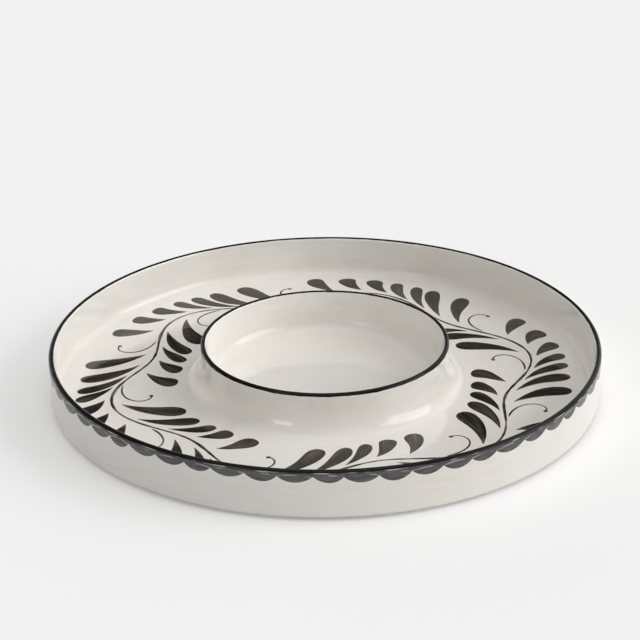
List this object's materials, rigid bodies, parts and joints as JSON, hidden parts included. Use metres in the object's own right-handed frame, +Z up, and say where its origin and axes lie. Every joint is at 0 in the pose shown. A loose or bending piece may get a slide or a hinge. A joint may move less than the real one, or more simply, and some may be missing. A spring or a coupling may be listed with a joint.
{
  "type": "chip and dip server",
  "caption": "Round glazed ceramic chip tray with an upright wall and a dip bowl standing in its middle, with black lip lines, a scalloped border and a leafy vine painted on its floor",
  "frame": {"origin": "middle of the face that stands on the table", "axes": "+Z up along the axis of the tray and the bowl; X and Y lie across the tray, with the vine's first leaf just past +X"},
  "size_m": [0.362, 0.362, 0.0335],
  "materials": {
    "white_glaze": "glossy warm white glaze",
    "bare_clay": "unglazed, fine matt clay",
    "black_line": "glossy black, brushed by hand under the glaze",
    "leaf_paint": "glossy brown-black, brushed by hand under the glaze"
  },
  "bodies": {
    "root": {"tray_floor": "white_glaze", "tray_heel": "white_glaze", "tray_wall": "white_glaze", "bowl_flare": "white_glaze", "bowl_wall": "white_glaze", "bowl_floor": "white_glaze", "foot_ring": "bare_clay", "rim_line": "black_line", "bowl_rim_line": "black_line", "scallop_border": "black_line", "vine_stem": "leaf_paint", "vine_tendrils": "leaf_paint", "vine_leaves": "leaf_paint"}
  },
  "joints": []
}
